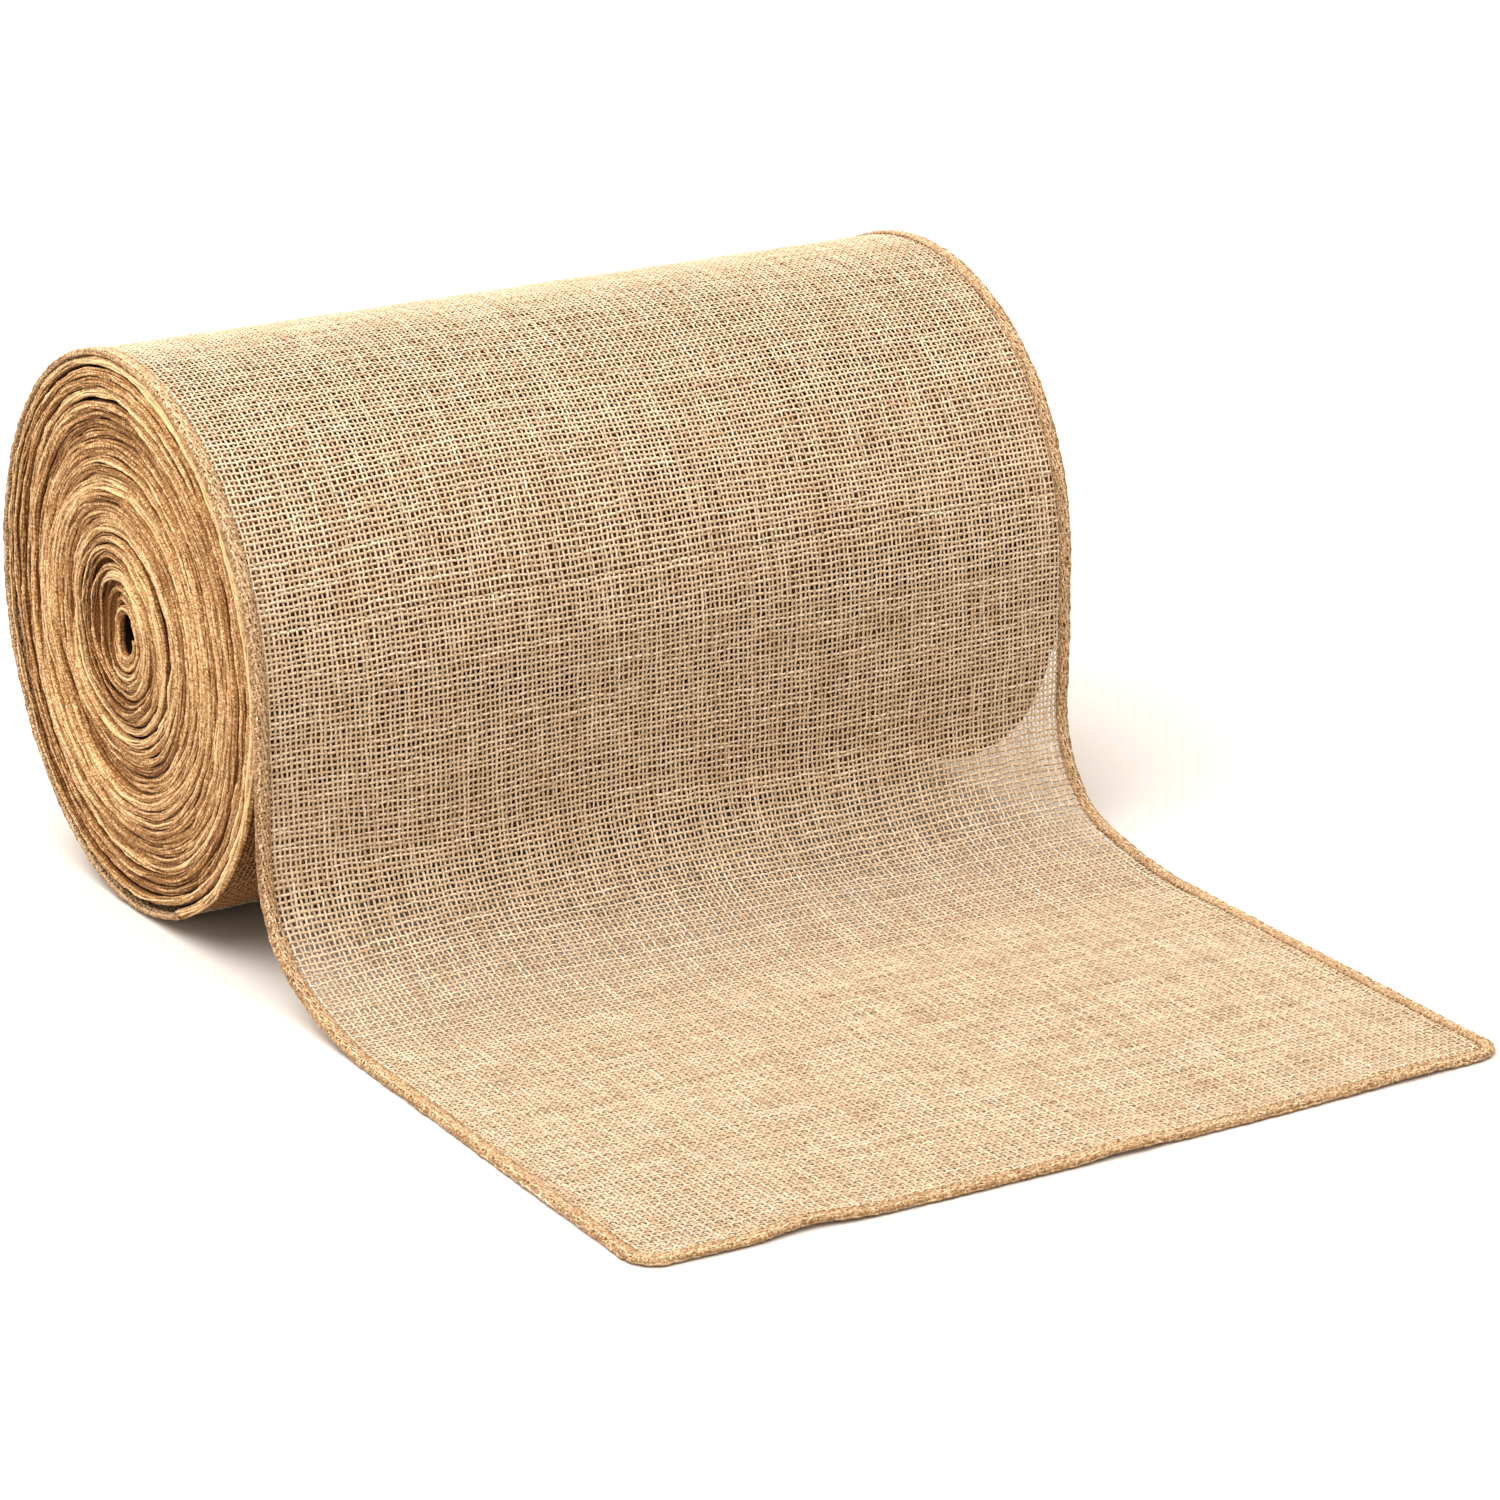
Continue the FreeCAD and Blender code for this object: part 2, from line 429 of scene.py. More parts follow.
def woven_thread(size, step, first_sign):
    """Two crossings of a thread that runs along Y."""
    fresh()
    bpy.ops.mesh.primitive_circle_add(vertices=4, radius=0.5, rotation=(math.pi / 2, 0, 0))
    piece = bpy.context.active_object
    bpy.ops.object.transform_apply(location=False, rotation=True, scale=False)
    edit_all(piece)
    bpy.ops.transform.resize(value=(size[0], 1, size[1]))
    bpy.ops.transform.translate(value=(0, 0, first_sign * CRIMP))
    for sign in (-first_sign, first_sign):
        bpy.ops.mesh.extrude_region_move(
            TRANSFORM_OT_translate={"value": (0, step, 2 * sign * CRIMP)})
    bpy.ops.mesh.select_all(action="SELECT")
    bpy.ops.mesh.normals_make_consistent(inside=False)
    bpy.ops.object.mode_set(mode="OBJECT")
    return piece


def close_ends(piece):
    """Fills the open ends of threads."""
    edit_all(piece)
    bpy.ops.mesh.fill_holes(sides=0)
    bpy.ops.object.mode_set(mode="OBJECT")


def thread_set(size, step, crossings, pitch, threads):
    """Threads side by side along X, every second one the other way up."""
    pair = []
    for number, sign in enumerate((1, -1)):
        piece = woven_thread(size, step, sign)
        repeat(piece, crossings // 2, (0, 2 * step, 0), True)
        close_ends(piece)
        set_corners(piece, corners(piece) + [number * pitch, 0, 0])
        pair.append(piece)
    piece = join(pair, "threads")
    repeat(piece, threads // 2, (2 * pitch, 0, 0), False)
    return piece


# %% [markdown]
# ## The cloth's unevenness
# Every crossing gets a small shift across and along, in which neighbours share, so that
# the rows wander as in loosely woven burlap, and every thread swells and thins along its
# length, with a slub here and there.

# %% Crossings
GRID = (WARPS + 1, ALL_ROWS + 1)
# in shares of a pitch: whole threads, near neighbours, wide patches, single crossings
shift_across = WARP_PITCH * np.clip(
    0.035 * field(1, (GRID[0], 1), 1, 1) + 0.045 * field(2, GRID, 3, 22)
    + 0.14 * field(3, GRID, 16, 34) + 0.085 * field(4, GRID, 1, 2), -0.6, 0.6)
shift_along = WEFT_PITCH * np.clip(
    0.045 * field(5, (1, GRID[1]), 1, 1) + 0.06 * field(6, GRID, 22, 3)
    + 0.35 * field(7, GRID, 34, 16) + 0.085 * field(8, GRID, 2, 1), -1.2, 1.2)
# whole threads, stretches of a thread, and slubs, which are rare
SLUB = 2.1
warp_swell = (1 + 0.035 * field(9, (GRID[0], 1), 1, 1) + 0.10 * field(10, GRID, 1, 3)
              + 0.22 * np.maximum(field(11, GRID, 1, 4) - SLUB, 0))
weft_swell = (1 + 0.035 * field(12, (1, GRID[1]), 1, 1) + 0.11 * field(13, GRID, 3, 1)
              + 0.26 * np.maximum(field(14, GRID, 4, 1) - SLUB, 0))
# where the cloth lies flat it is slack, and its threads are plumper
row_places = np.arange(GRID[1]) * WEFT_PITCH
plump = 1 + 0.15 * ramp(row_places, FLOOR_START - 70 * MM, FLOOR_START + 30 * MM)
THINNEST, THICKEST = 0.7, 1.45
warp_swell = np.clip(warp_swell, THINNEST, THICKEST) * plump
weft_swell = np.clip(weft_swell, THINNEST, THICKEST) * plump
print("threads shift by up to %.1f mm across" % (np.abs(shift_across).max() / MM))

# %% [markdown]
# ## Weaving
# Regular threads are laid out first, and each point is then moved to its own crossing and
# swollen there. A ribbon woven in one piece would have far too many faces for one mesh, so
# it is woven in seven stretches that share the same crossings where they meet.

# %% The cut edge
TRIM = 1.2 * MM                      # the cut edge of the cloth lies this far in the seam


def round_corners(across, along):
    """Pulls what lies past the front corners' curve back onto it."""
    past_x = np.maximum(np.abs(across) - (HALF_WIDTH - CORNER_RADIUS), 0)
    past_y = np.maximum(along - (FREE_LENGTH - CORNER_RADIUS), 0)
    far = np.hypot(past_x, past_y)
    reach = CORNER_RADIUS - TRIM
    pull = np.where((past_x > 0) & (past_y > 0) & (far > reach),
                    reach / np.maximum(far, 1e-9), 1)
    return (np.sign(across) * (np.abs(across) - past_x * (1 - pull)),
            along - past_y * (1 - pull))


# %% Threads to their crossings
def weave_points(points, warp, first_row):
    """Moves regular thread points to their uneven crossings. Also says which thread."""
    if warp:
        thread = np.round(points[:, 0] / WARP_PITCH).astype(int)
        row = np.round(points[:, 1] / WEFT_PITCH).astype(int)
        across_off, along_off = points[:, 0] - thread * WARP_PITCH, 0
        i, j = thread, row + first_row
        swell = warp_swell[i, j]
        over = np.where((i + row) % 2 == 0, CRIMP, -CRIMP)
    else:
        i = np.round(points[:, 1] / WARP_PITCH).astype(int)
        thread = np.round(points[:, 0] / WEFT_PITCH).astype(int)
        across_off, along_off = 0, points[:, 0] - thread * WEFT_PITCH
        j = thread + first_row
        swell = weft_swell[i, j]
        over = np.where((i + thread) % 2 == 0, CRIMP, -CRIMP)
    across = (i - WARPS / 2) * WARP_PITCH + shift_across[i, j] + across_off * swell
    along = j * WEFT_PITCH + shift_along[i, j] + along_off * swell
    up = points[:, 2] + (points[:, 2] - over) * (swell - 1)
    across, along = round_corners(across, along)
    lateral = (across_off if warp else along_off) / (WARP_SIZE if warp else WEFT_SIZE)[0]
    return np.column_stack([across, along, up]), thread, lateral


# %% Maps along the threads
def yarn_maps(piece, length, thread, lateral, first, count, span):
    """The thread's own map for its fibres, and a strip for each thread to bake on."""
    at, _ = at_face_corners(piece, length)
    side, _ = at_face_corners(piece, lateral + thread)
    write_map(piece, "yarn", at / (10 * MM), side + 0.5 + first[0])
    low, high = span
    write_map(piece, "OFBake", 0.004 + 0.992 * (at - low) / (high - low),
              (side + 0.5 + first[1]) / count)


# %% Behind the curtain
OUTERMOST = ROWS * WEFT_PITCH


def lay_outermost(points):
    """Flat points of the last wound stretch, in their place behind the curtain."""
    first, second = beside(wound_line, points[:, 1] + WOUND_LENGTH - OUTERMOST, points[:, 2])
    return np.column_stack([points[:, 0], first, second])


# %% One woven stretch
def woven_stretch(name, number, lay=lay_free):
    """One stretch of ribbon: its warp and weft, laid in place."""
    first_row = number * ROWS
    strips = WARPS + ROWS
    halves = []
    for warp in (True, False):
        if warp:
            piece = thread_set(WARP_SIZE, WEFT_PITCH, ROWS, WARP_PITCH, WARPS)
        else:
            piece = thread_set(WEFT_SIZE, WARP_PITCH, WARPS, WEFT_PITCH, ROWS)
        flat = corners(piece)
        if not warp:
            flat[:, 2] *= -1
        placed, thread, lateral = weave_points(flat, warp, first_row)
        if warp:
            span = (first_row * WEFT_PITCH, (first_row + ROWS) * WEFT_PITCH)
            yarn_maps(piece, flat[:, 1] + span[0], thread, lateral, (0, 0), strips, span)
        else:
            yarn_maps(piece, flat[:, 1], thread, lateral, (1000 + first_row, WARPS), strips,
                      (0, WARPS * WARP_PITCH))
        set_corners(piece, lay(placed))
        halves.append(piece)
    piece = join(halves, name)
    shade_smooth(piece)
    edit_all(piece)
    bpy.ops.mesh.normals_make_consistent(inside=False)
    bpy.ops.object.mode_set(mode="OBJECT")
    return piece


# %% The free ribbon and the turn behind it
weaves = [woven_stretch(name, number) for number, name in enumerate(STRETCHES)]
outermost_weave = woven_stretch("wound_turns_outermost", 0, lay_outermost)
turn_weaves, front_weaves = weaves[:4], weaves[4:]
for weave in weaves:
    print(weave.name, len(weave.data.polygons), "faces")


# %% [markdown]
# ## Threads that follow a line
# A seam's threads run freely in space, so each is a curve through points that a formula
# gives, with a round bevel, made into a mesh. The bevel rings follow the points in order,
# which makes it easy to write the two maps afterwards.


# %% Sewn threads
SIDES = 4                            # of a sewn thread, with smooth shading


def thread_mesh(name, paths, swells, width):
    """One mesh of several threads, each through its own rows of points."""
    curve = bpy.data.curves.new(name, "CURVE")
    curve.dimensions = "3D"
    curve.bevel_depth = width / 2
    curve.bevel_resolution = 0
    for path, swell in zip(paths, swells):
        spline = curve.splines.new("POLY")
        spline.points.add(len(path) - 1)
        spline.points.foreach_set("co", np.column_stack([path, np.ones(len(path))]).ravel())
        spline.points.foreach_set("radius", swell)
    piece = bpy.data.objects.new(name, curve)
    bpy.context.collection.objects.link(piece)
    activate(piece)
    bpy.ops.object.convert(target="MESH")
    piece = bpy.context.active_object
    lengths, total = [], 0
    for path in paths:
        steps = np.linalg.norm(np.diff(path, axis=0), axis=1)
        lengths.append(total + np.concatenate([[0], np.cumsum(steps)]))
        total = lengths[-1][-1]
    along = np.repeat(np.concatenate(lengths), SIDES)
    around = np.tile(np.arange(SIDES) / SIDES, sum(len(path) for path in paths))
    close_ends(piece)
    number = np.repeat(np.arange(len(paths)), [len(path) * SIDES for path in paths])
    # about as many rows as make the strip's cut pieces fill a square
    rows = max(int(round(math.sqrt(total / (3 * MM)))), 1)
    strip_maps(piece, along, around * width, width, rows, total * 1.0001, number)
    shade_smooth(piece)
    print(name, len(piece.data.polygons), "faces,", round(total, 2), "m of thread")
    return piece


# %% [markdown]
# ## The overlock seam
# The seam runs along one long edge, round both front corners and back along the other
# edge. One thread is overcast round the edge, from a line of needle holes out and back
# below. Three strands lie twisted along the very edge, more strands lie lengthwise and
# cover the band between edge and needle line, and one thread runs along that line. A band
# with a bump would be cheaper, but its outline would be smooth. Everything is said in the
# seam's own terms first: how far along it, how far in from the edge, and how high.

# %% The seam's outline
edge_line = line_through((-HALF_WIDTH, 0), math.pi / 2, [
    (FREE_LENGTH - CORNER_RADIUS, 0),
    (CORNER_RADIUS * math.pi / 2, -1 / CORNER_RADIUS),
    (2 * (HALF_WIDTH - CORNER_RADIUS), 0),
    (CORNER_RADIUS * math.pi / 2, -1 / CORNER_RADIUS),
    (FREE_LENGTH - CORNER_RADIUS, 0),
])
SIDE_LENGTH = FREE_LENGTH - CORNER_RADIUS
EDGE_LENGTH = edge_line["along"][-1]
STITCH = 2.3 * MM                    # from one overcast stitch to the next
NEEDLE_LINE = 4.7 * MM               # how far in from the edge the needle went
BEAD_DEPTH = 1.0 * MM                # the bead's middle, in from the edge
SEAM_THREAD = 0.72 * MM
print("%.2f m of seam round three sides" % EDGE_LENGTH)


def lay_on_edge(points):
    """Points (along the seam, in from the edge, up) in their place on the object."""
    across, along = beside(edge_line, points[:, 0], points[:, 1])
    return lay_free(np.column_stack([across, along, points[:, 2]]))


# %% The overcast thread
STITCH_SHAPE = np.array([     # share of a stitch, in from the edge, up; in mm
    (0.00, 4.6, -0.10), (0.08, 4.2, 0.58), (0.27, 2.8, 0.76), (0.45, 1.2, 0.84),
    (0.53, 0.42, 0.45), (0.58, 0.44, -0.45), (0.66, 1.3, -0.78), (0.90, 3.9, -0.62),
])
STITCH_LEAD = 0.15                   # the first stitch starts this share of one in


def overcast(begin, end):
    """A thread wound round the edge, from the needle line out and back below."""
    count = int(round((end - begin) / STITCH))
    step = np.repeat(np.arange(count), len(STITCH_SHAPE))
    rows = np.tile(STITCH_SHAPE, (count, 1))
    along = begin + (step + STITCH_LEAD + rows[:, 0]) * (end - begin) / count
    chance = np.random.default_rng(int(begin / MM) + 50)
    uneven = chance.normal(size=(count, 3)).repeat(len(STITCH_SHAPE), axis=0)
    at_needle = rows[:, 1] > 3
    return np.column_stack([
        along + uneven[:, 0] * 0.16 * MM,
        rows[:, 1] * MM + at_needle * uneven[:, 1] * 0.25 * MM,
        rows[:, 2] * MM * (1 + 0.08 * uneven[:, 2]),
    ])


# %% Strands
def twisted(begin, end, radius, strands, period, step):
    """Strands twisted round each other: along, in from the middle, and up."""
    along = np.linspace(begin, end, max(int((end - begin) / step), 2))
    turn = along * math.tau / period
    return [np.column_stack([along, radius * np.cos(turn + i * math.tau / strands),
                             radius * np.sin(turn + i * math.tau / strands)])
            for i in range(strands)]


def swelling(count, seed, amount, reach):
    """How thick a thread is at each of count points, about 1."""
    return 1 + amount * np.clip(field(seed, (count, 1), reach, 1)[:, 0], -2, 2.5)


# %% One stretch of seam
BEAD_STRANDS = 3
BEAD_RADIUS = 0.50 * MM
BEAD_TWIST = 6 * MM
COVER_TWIST = 5.2 * MM
COVER = [(0.50, 0.30), (0.50, -0.30), (1.7, 0.74), (2.5, 0.74), (3.3, 0.70), (4.0, 0.62),
         (2.2, -0.74), (3.6, -0.68)]     # in from the edge, and up, in mm


def cover_strand(line, i, inward, up):
    """A lengthwise strand that wanders a little and turns round its own place."""
    turned = line * math.tau / COVER_TWIST + 2.1 * i
    drift = 0.13 * field(90 + i, (len(line), 1), 4, 1)[:, 0]
    sway = 0.10 if inward < 1 else 0.34     # a strand at the very edge stays in line
    return np.column_stack([line, (inward + drift + sway * np.sin(turned)) * MM,
                            (up + 0.14 * np.cos(turned) * np.sign(up)) * MM])


def seam(name, begin, end):
    """The overlock along one stretch of the edge."""
    paths = [overcast(begin, end)]
    for strand in twisted(begin, end, BEAD_RADIUS, BEAD_STRANDS, BEAD_TWIST, 1.2 * MM):
        strand[:, 1] += BEAD_DEPTH
        paths.append(strand)
    line = np.linspace(begin, end, int((end - begin) / (1.3 * MM)))
    for i, (inward, up) in enumerate(COVER):
        paths.append(cover_strand(line, i, inward, up))
    line = np.linspace(begin, end, int((end - begin) / STITCH) * 2 + 1)
    up = np.where(np.arange(len(line)) % 2, 0.95, 0.35) * MM
    paths.append(np.column_stack([line, np.full(len(line), NEEDLE_LINE), up]))
    thickness = [1] + [1.2] * BEAD_STRANDS + [1.3] * len(COVER) + [1]
    swells = [swelling(len(path), 60 + i, 0.12, 5) * thick
              for i, (path, thick) in enumerate(zip(paths, thickness))]
    return thread_mesh(name, [lay_on_edge(path) for path in paths], swells, SEAM_THREAD)


SEAM_STRETCHES = [
    ("outer_turn_seam_left", 0, TURN_LENGTH),
    ("front_seam_left", TURN_LENGTH, SIDE_LENGTH),
    ("front_hem", SIDE_LENGTH, EDGE_LENGTH - SIDE_LENGTH),
    ("front_seam_right", EDGE_LENGTH - SIDE_LENGTH, EDGE_LENGTH - TURN_LENGTH),
    ("outer_turn_seam_right", EDGE_LENGTH - TURN_LENGTH, EDGE_LENGTH),
]
seams = {name: seam(name, begin, end) for name, begin, end in SEAM_STRETCHES}

# %% [markdown]
# ## The wound turns
# Inside the outer turn the same ribbon is wound about 27 times more. Its edge beads show
# at the two ends of the roll and make them look like a roll of real cloth: some turns
# stand proud, some have slipped in, and here and there a gap has opened. Rings copied
# from turn to turn would look like a machined part, so the beads follow the one long
# spiral, and tables of seeded random numbers say how each turn lies in each direction.


# %% Tables of turns
def read_table(table, row, column):
    """A table of turns by directions, read smoothly in between, and closed all round."""
    row = np.clip(row, 0, len(table) - 2)
    low, left = np.floor(row).astype(int), np.floor(column).astype(int)
    down, right = row - low, column - left
    right = right * right * (3 - 2 * right)
    count = table.shape[1]
    here, there = left % count, (left + 1) % count
    upper = table[low, here] * (1 - right) + table[low, there] * right
    lower = table[low + 1, here] * (1 - right) + table[low + 1, there] * right
    return upper * (1 - down) + lower * down


def turn_table(seed, directions, over_turns, over_directions):
    """Random numbers for each turn and direction, alike over so many neighbours."""
    wide = field(seed, (34, 3 * directions), over_turns, over_directions)
    return wide[:, directions:2 * directions]


# %% How the turns lie
# Places where turns have slipped in: direction from the back and upwards in degrees,
# radius in mm, their spreads, and how deep in mm
SLIPPED = [(95, 69, 30, 6, 0.9), (205, 54, 22, 5, 1.6), (262, 73, 26, 7, 1.7),
           (290, 30, 40, 9, 1.5), (10, 15, 50, 6, 1.4), (150, 80, 20, 3, 1.4)]


def uneven_turns(along, seed):
    """How far each place of the wound seam stands proud, aside, and how much gap it leaves."""
    angle = np.interp(along, wound_line["along"], wound_line["heading"]) - math.pi / 2
    radius = LAST_RADIUS - WOUND_PITCH * (angles[-1] - angle) / math.tau
    turn = angle / math.tau

    def uneven(number, directions, over_turns, over_directions):
        table = turn_table(seed + number, directions, over_turns, over_directions)
        return read_table(table, turn + 1, turn % 1 * directions)

    blocks, own, ripple = uneven(0, 10, 3, 2), uneven(1, 14, 1, 3), uneven(2, 60, 1, 2)
    proud = (0.6 * blocks + 0.55 * own + 0.14 * ripple) * MM * ramp(radius, 4 * MM, 16 * MM)
    for way, far, spread, reach, deep in SLIPPED:
        off = (angle - math.radians(way) + math.pi) % math.tau - math.pi
        proud = proud - deep * MM * np.exp(-(off / math.radians(spread)) ** 2
                                           - ((radius / MM - far) / reach) ** 2)
    settle = 0.35 + 0.65 * ramp(LAST_RADIUS - radius, 0, 6 * MM)
    proud = np.clip(proud, -2.6 * MM, 1.8 * MM) * settle
    aside = 0.34 * uneven(3, 16, 1, 2) * MM
    # the turns lie open at the back, round the eye and at the rim, and are pressed on top
    rear = (0.5 + 0.5 * np.cos(angle)) ** 2
    core = (1 - ramp(radius, 24 * MM, 36 * MM)) * ramp(radius, 7 * MM, 11 * MM)
    rim = ramp(radius, 70 * MM, 80 * MM)
    gap = (0.13 * uneven(4, 12, 1, 2) - 0.14 * np.maximum(np.sin(angle), 0)
           + rear * (0.8 * core + 0.55 * rim))
    return proud, aside, np.clip(gap, -0.16, 0.78)


# %% Tones and places
def turn_tones(seed):
    """A tone for each stretch of a third of a turn, lighter or darker than the next turn's."""
    places = np.linspace(0, WOUND_LENGTH, int(TURNS * 3))
    return places, 0.07 * field(seed + 30, (len(places), 1), 1, 1)[:, 0]


def lay_wound(points, side):
    """Points (along, out from the turn's middle, out from the edge) on one end of the roll."""
    first, second = beside(wound_line, points[:, 0], points[:, 1])
    return np.column_stack([side * (HALF_WIDTH + points[:, 2]), first, second])


# %% The wound seams
WOUND_STRANDS = 5
WOUND_STEP = 2.4 * MM
STRAND_SPACING = 0.54 * MM
FILLING_SIZE = 4.2                   # as many times the width of a seam thread
FILLING_DEPTH = 2.3 * MM


def wound_seam(name, side, seed):
    """The edge beads of all wound turns at one end of the roll."""
    count = int(WOUND_LENGTH / WOUND_STEP)
    along = np.linspace(0, WOUND_LENGTH, count)
    proud, aside, gap = uneven_turns(along, seed)
    thin = 1 - gap
    # the folded-in cloth edge, which fills the bead from behind
    opened = np.maximum(gap - 0.15, 0)
    filling = np.column_stack([along, aside, proud - FILLING_DEPTH - 3 * MM * opened])
    paths, swells = [lay_wound(filling, side)], [FILLING_SIZE * (1 - 1.4 * opened)]
    for i in range(WOUND_STRANDS):
        wander = field(seed + 20 + i, (count, 2), 4, 1) * MM
        place = i - WOUND_STRANDS // 2
        out = (STRAND_SPACING * place + 0.24 * wander[:, 0]) * thin + aside
        up = (0.30 * wander[:, 1] + proud - 1.0 * MM - 0.10 * place ** 2 * MM
              + 0.12 * MM * np.sin(along * math.tau / BEAD_TWIST + 1.3 * i))
        paths.append(lay_wound(np.column_stack([along, out, up]), side))
        swells.append(swelling(count, seed + 10 + i, 0.18, 2) * (0.5 + 0.5 * thin) * 1.3)
    piece = thread_mesh(name, paths, swells, SEAM_THREAD)
    # painted shade: darker the deeper a point lies below the turn's outside, and lighter where a
    # turn stands proud, on top of each turn's random tone
    own = np.interp(along, *turn_tones(seed)) + 0.05 * proud / MM
    outside = HALF_WIDTH + np.tile(np.repeat(proud, SIDES), len(paths))
    depth = (outside - np.abs(corners(piece)[:, 0])) / MM
    values = np.tile(np.repeat(own, SIDES), len(paths)) + 0.11 * np.clip(0.9 - depth, -1.6, 0.9)
    tone = piece.data.attributes.new("tone", "FLOAT", "POINT")
    tone.data.foreach_set("value", values)
    return piece


seams["wound_seam_left"] = wound_seam("wound_seam_left", -1, 200)
seams["wound_seam_right"] = wound_seam("wound_seam_right", 1, 300)

# %% [markdown]
# ## The wound cloth
# Between the two ends the wound ribbon is hidden, and what shows through the holes of the
# outer turn is only a shaded weave. Weaving 8 metres more would cost millions of faces, so
# a plain grid is laid along the spiral line, a little shorter than the beads reach.

# %% The wound cloth
WOUND_INSET = 3.4 * MM
SHEET_STEP = 4.5 * MM


def wound_sheet(name, begin, end, rows):
    """A sheet along one stretch of the spiral."""
    fresh()
    steps = int((end - begin) / SHEET_STEP)
    bpy.ops.mesh.primitive_grid_add(x_subdivisions=4, y_subdivisions=steps, size=1)
    piece = bpy.context.active_object
    piece.name = piece.data.name = name
    flat = corners(piece)
    across = flat[:, 0] * 2 * (HALF_WIDTH - WOUND_INSET)
    along = begin + (flat[:, 1] + 0.5) * (end - begin)
    strip_maps(piece, along - begin, across + HALF_WIDTH, 2 * HALF_WIDTH, rows,
               (end - begin) * 1.0001)
    first, second = beside(wound_line, along, np.zeros(len(along)))
    set_corners(piece, np.column_stack([across, first, second]))
    shade_smooth(piece)
    print(name, len(piece.data.polygons), "faces")
    return piece


INNER_LENGTH = math.tau * INNER_RADIUS
inner_turn_cloth = wound_sheet("inner_turn_cloth", 0, INNER_LENGTH, 1)
wound_cloth = wound_sheet("wound_turns", INNER_LENGTH, WOUND_LENGTH - OUTERMOST, 8)

# %% [markdown]
# ## Jute
# Jute yarn is dull and hairy: pale straw, with darker fibres running along it, and each
# yarn of a slightly different tone. One noise over the whole object would run across the
# threads, so the map named yarn runs along every thread, and noise that is stretched along
# it looks like fibres. The second number's whole part is the thread's own number, which
# gives each thread its own tone.


# %% Nodes and colours
def new_material(name):
    """A material, its nodes, and its shader."""
    material = bpy.data.materials.new(name)
    material.use_nodes = True
    shader = material.node_tree.nodes["Principled BSDF"]
    return material, material.node_tree, shader


def add_node(tree, kind, **values):
    """A node with its settings and its inputs' values given by name."""
    node = tree.nodes.new(kind)
    for key, value in values.items():
        if hasattr(node, key):
            setattr(node, key, value)
        else:
            node.inputs[key.replace("_", " ")].default_value = value
    return node


def mapped(tree, source, scale=(1, 1, 1), turn=0):
    """Coordinates, turned or stretched."""
    node = add_node(tree, "ShaderNodeMapping", Scale=scale)
    node.inputs["Rotation"].default_value = (0, 0, turn)
    tree.links.new(source, node.inputs["Vector"])
    return node.outputs[0]


def make_matt(shader, roughness, gloss):
    shader.inputs["Roughness"].default_value = roughness
    shader.inputs["Specular IOR Level"].default_value = gloss


def colour(red, green, blue):
    """A colour as a paint card gives it, 0 to 255, as the light values of a shader."""
    return tuple(((c / 255 + 0.055) / 1.055) ** 2.4 if c > 10 else c / 255 / 12.92
                 for c in (red, green, blue))


# %% Jute yarn
RAMP_REACH = 0.17                    # from the middle tone to the darkest and the palest


def jute(name, tones_given, own_tone, patchy=0.5, ply=0, grain=(1.6, 5.0), rough=0.55):
    """Jute yarn in three tones. ply is the slant of its fibres, in degrees."""
    dark, middle, pale = (colour(*tone) for tone in tones_given)
    material, tree, shader = new_material(name)
    link = tree.links.new
    where = add_node(tree, "ShaderNodeUVMap", uv_map="yarn")
    split = add_node(tree, "ShaderNodeSeparateXYZ")
    link(where.outputs["UV"], split.inputs[0])
    number = add_node(tree, "ShaderNodeMath", operation="FLOOR")
    link(split.outputs["Y"], number.inputs[0])
    own = add_node(tree, "ShaderNodeTexWhiteNoise", noise_dimensions="1D")
    link(number.outputs[0], own.inputs["W"])
    slanted = mapped(tree, where.outputs["UV"], turn=math.radians(ply))
    fibres = add_node(tree, "ShaderNodeTexNoise", Scale=2.2, Detail=4.0, Roughness=0.65)
    link(mapped(tree, slanted, (*grain, 1)), fibres.inputs["Vector"])
    patches = add_node(tree, "ShaderNodeTexNoise", Scale=1.0, Detail=3.0)
    link(mapped(tree, where.outputs["UV"], (0.5, 1, 1)), patches.inputs["Vector"])
    # the tone attribute of the wound seams: random tones of their turns, and painted shade in
    # their valleys
    given = add_node(tree, "ShaderNodeAttribute", attribute_name="tone")
    tone = given.outputs["Fac"]
    for source, share in ((own, own_tone), (patches, patchy), (fibres, rough)):
        total = add_node(tree, "ShaderNodeMath", operation="MULTIPLY_ADD")
        link(source.outputs[0], total.inputs[0])
        total.inputs[1].default_value = share
        link(tone, total.inputs[2])
        tone = total.outputs[0]
    centre = (rough + patchy + own_tone) / 2
    tones = add_node(tree, "ShaderNodeValToRGB")
    link(tone, tones.inputs["Fac"])
    stops = tones.color_ramp.elements
    stops[0].position, stops[0].color = centre - RAMP_REACH, (*dark, 1)
    stops[1].position, stops[1].color = centre + RAMP_REACH, (*pale, 1)
    stops.new(centre).color = (*middle, 1)
    link(tones.outputs["Color"], shader.inputs["Base Color"])
    bump = add_node(tree, "ShaderNodeBump", Strength=0.5, Distance=0.15 * MM)
    link(fibres.outputs["Fac"], bump.inputs["Height"])
    link(bump.outputs[0], shader.inputs["Normal"])
    make_matt(shader, 0.9, 0.2)
    shader.inputs["Sheen Weight"].default_value = 0.12
    shader.inputs["Sheen Tint"].default_value = (1.0, 0.86, 0.68, 1)
    return material


